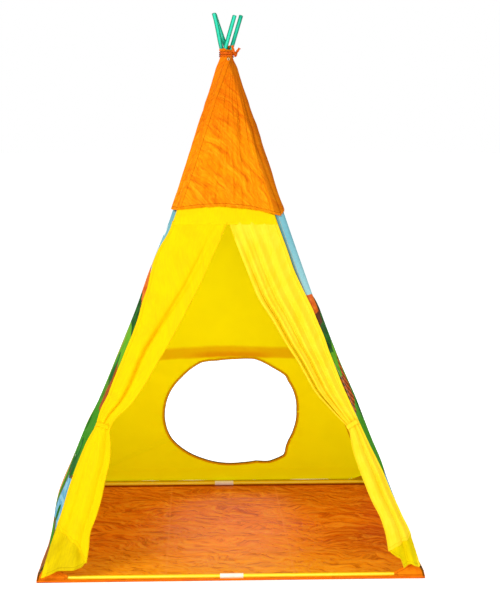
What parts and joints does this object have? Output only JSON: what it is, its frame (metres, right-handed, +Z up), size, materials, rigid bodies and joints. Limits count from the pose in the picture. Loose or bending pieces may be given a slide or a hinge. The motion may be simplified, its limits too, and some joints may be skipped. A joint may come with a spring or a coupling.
{
  "type": "play teepee",
  "caption": "Four-sided children's play tent on crossing poles, with tied-back door curtains, a floor and a round back window with a rolled cover.",
  "frame": {"origin": "on the floor under the crossing of the poles, in the middle of the base", "axes": "+Z up; the doorway looks along -Y and the round window along +Y; +X is on the right of someone who looks in at the door"},
  "size_m": [1, 1, 1.489],
  "materials": {
    "teal_tube": "smooth satin plastic tube",
    "yellow_rod": "smooth satin plastic tube",
    "white_coupling": "natural moulded plastic",
    "yellow_cloth": "thin plain-woven polyester that lets light through",
    "orange_cloth": "thin plain-woven polyester",
    "orange_satin": "coated polyester with a soft sheen and creases",
    "printed_cloth": "thin polyester printed with a plain landscape",
    "tie_cord": "woven polyester cord"
  },
  "bodies": {
    "root": {"pole_front_left_tube_1": "teal_tube", "pole_front_left_tube_2": "teal_tube", "pole_front_left_tube_3": "teal_tube", "pole_front_left_coupling_1": "white_coupling", "pole_front_left_coupling_2": "white_coupling", "pole_front_right_tube_1": "teal_tube", "pole_front_right_tube_2": "teal_tube", "pole_front_right_tube_3": "teal_tube", "pole_front_right_coupling_1": "white_coupling", "pole_front_right_coupling_2": "white_coupling", "pole_back_right_tube_1": "teal_tube", "pole_back_right_tube_2": "teal_tube", "pole_back_right_tube_3": "teal_tube", "pole_back_right_coupling_1": "white_coupling", "pole_back_right_coupling_2": "white_coupling", "pole_back_left_tube_1": "teal_tube", "pole_back_left_tube_2": "teal_tube", "pole_back_left_tube_3": "teal_tube", "pole_back_left_coupling_1": "white_coupling", "pole_back_left_coupling_2": "white_coupling", "base_front_rod_1": "yellow_rod", "base_front_rod_2": "yellow_rod", "base_front_coupling": "white_coupling", "base_right_rod_1": "yellow_rod", "base_right_rod_2": "yellow_rod", "base_right_coupling": "white_coupling", "base_back_rod_1": "yellow_rod", "base_back_rod_2": "yellow_rod", "base_back_coupling": "white_coupling", "base_left_rod_1": "yellow_rod", "base_left_rod_2": "yellow_rod", "base_left_coupling": "white_coupling", "floor_mat": "orange_satin", "floor_lip": "orange_satin", "corner_pocket_front_left": "orange_cloth", "corner_pocket_front_right": "orange_cloth", "corner_pocket_back_right": "orange_cloth", "corner_pocket_back_left": "orange_cloth", "corner_sleeve_front_left": "printed_cloth", "corner_sleeve_front_right": "printed_cloth", "corner_sleeve_back_right": "printed_cloth", "corner_sleeve_back_left": "printed_cloth", "side_panel_left": "printed_cloth", "side_panel_right": "printed_cloth", "back_panel": "yellow_cloth", "window_binding": "orange_cloth", "cone_cover": "orange_cloth", "door_header": "yellow_cloth", "apex_tie": "tie_cord", "apex_knot": "tie_cord"},
    "left_curtain": {"left_curtain": "yellow_cloth", "left_tieback": "yellow_cloth"},
    "right_curtain": {"right_curtain": "yellow_cloth", "right_tieback": "yellow_cloth"},
    "window_cover": {"window_cover": "orange_cloth", "window_cover_tie_left": "orange_cloth", "window_cover_tie_right": "orange_cloth"}
  },
  "joints": [
    {"name": "left_curtain_swing", "type": "hinge", "parent": "root", "child": "left_curtain", "pos_m": [-0.46361, -0.46426, 0.0517], "axis": [0.3345, 0.3234, 0.8852], "range_deg": [-60, 0]},
    {"name": "right_curtain_swing", "type": "hinge", "parent": "root", "child": "right_curtain", "pos_m": [0.46426, -0.46361, 0.0517], "axis": [-0.3234, 0.3345, 0.8852], "range_deg": [0, 60]},
    {"name": "window_cover_swing", "type": "hinge", "parent": "root", "child": "window_cover", "pos_m": [0.02, 0.29627, 0.52], "axis": [0.9999, 0.01, 0], "range_deg": [0, 100]}
  ]
}
